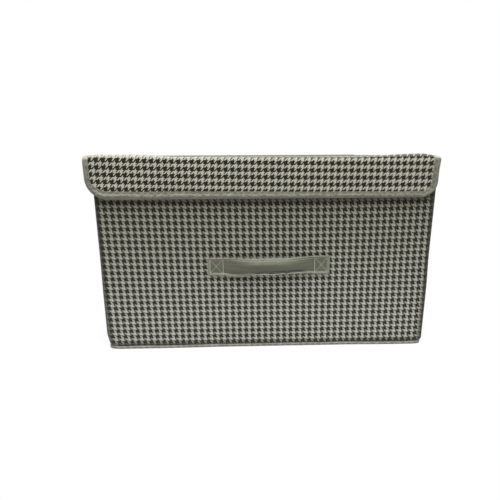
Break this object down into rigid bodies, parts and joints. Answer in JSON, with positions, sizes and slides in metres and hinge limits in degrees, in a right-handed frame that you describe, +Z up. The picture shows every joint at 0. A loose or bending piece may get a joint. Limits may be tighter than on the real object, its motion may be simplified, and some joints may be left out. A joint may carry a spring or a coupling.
{
  "type": "lidded fabric storage box",
  "caption": "Soft-sided rectangular storage box in printed fabric, with a hinged lid whose front edge folds down as a flap, bound edges, a sewn pull strap and a loose base insert.",
  "frame": {"origin": "middle of the flat underside, between the outer faces of the walls", "axes": "+X to the right across the front, +Y from the front wall to the back wall, +Z up"},
  "size_m": [0.4273, 0.3147, 0.25],
  "materials": {
    "printed_fabric": "matt non-woven cloth with a small dark and pale houndstooth print",
    "binding_tape": "matt grey-green non-woven tape, stitched",
    "strap_fabric": "matt grey-green non-woven strap, stitched",
    "lining_fabric": "matt plain grey-green non-woven cloth",
    "grey_board": "raw grey cardboard",
    "hook_and_loop": "dark hook-and-loop fastener"
  },
  "bodies": {
    "walls": {"front_and_sides_cover": "printed_fabric", "back_cover": "printed_fabric", "front_board": "grey_board", "back_board": "grey_board", "left_board_front": "grey_board", "left_board_rear": "grey_board", "right_board_front": "grey_board", "right_board_rear": "grey_board", "inner_lining": "lining_fabric", "bottom_sheet": "lining_fabric", "bottom_binding": "binding_tape", "rim_binding": "binding_tape", "hinge_strip": "binding_tape", "pull_strap": "strap_fabric", "loop_patch": "hook_and_loop"},
    "lid": {"lid_cover": "printed_fabric", "lid_board": "grey_board", "lid_lining": "lining_fabric", "lid_binding": "binding_tape"},
    "flap": {"flap_cover": "printed_fabric", "flap_board": "grey_board", "flap_lining": "lining_fabric", "flap_binding": "binding_tape", "hook_patch": "hook_and_loop"},
    "base_insert": {"base_sleeve": "lining_fabric", "base_board": "grey_board"}
  },
  "joints": [
    {"name": "lid_hinge", "type": "hinge", "parent": "walls", "child": "lid", "pos_m": [0, 0.1527, 0.2503], "axis": [-1, 0, 0], "range_deg": [0, 220]},
    {"name": "flap_hinge", "type": "hinge", "parent": "lid", "child": "flap", "pos_m": [0, -0.1587, 0.2492], "axis": [-1, 0, 0], "range_deg": [0, 170]},
    {"name": "base_lift", "type": "slide", "parent": "walls", "child": "base_insert", "axis": [0, 0, 1], "range_m": [0, 0.22]}
  ]
}
